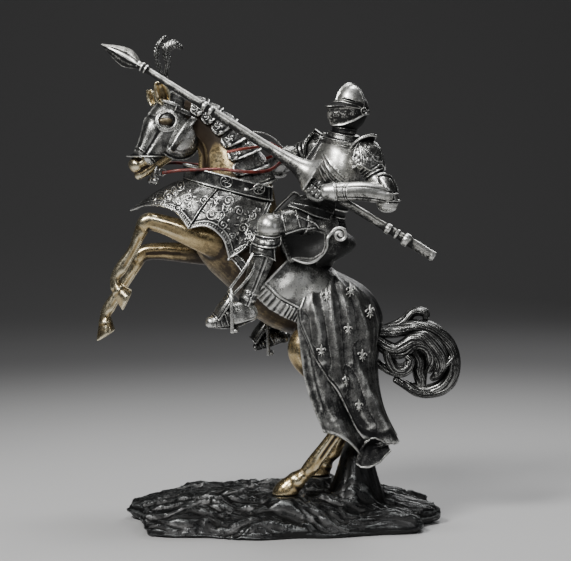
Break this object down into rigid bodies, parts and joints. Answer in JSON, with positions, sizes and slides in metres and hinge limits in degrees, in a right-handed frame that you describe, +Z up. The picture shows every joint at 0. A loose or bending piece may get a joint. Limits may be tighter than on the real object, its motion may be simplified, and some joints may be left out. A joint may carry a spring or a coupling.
{
  "type": "equestrian knight statuette",
  "caption": "Cast desk statuette of an armoured knight with a lance on a rearing armoured horse, standing on a rough dark rock base.",
  "frame": {"origin": "middle of the rock base's flat underside", "axes": "+Z up; the horse faces -X; the near side, with the lance, is -Y"},
  "size_m": [0.2976, 0.1233, 0.3929],
  "materials": {
    "silver": "cast resin in antique silver paint, with black in the hollows and bright worn edges",
    "gold": "cast resin in old gold paint with brown shading, on the skin of the horse",
    "rock": "cast resin in near-black paint with pale dry-brushed ridges",
    "steel": "turned rod in bright silver paint, darker in its grooves",
    "red_strap": "thin flexible strap in dark red"
  },
  "bodies": {
    "root": {"rock_base": "rock", "knight_and_horse": "silver", "lance": "steel", "rein_near": "red_strap", "rein_far": "red_strap"}
  },
  "joints": []
}
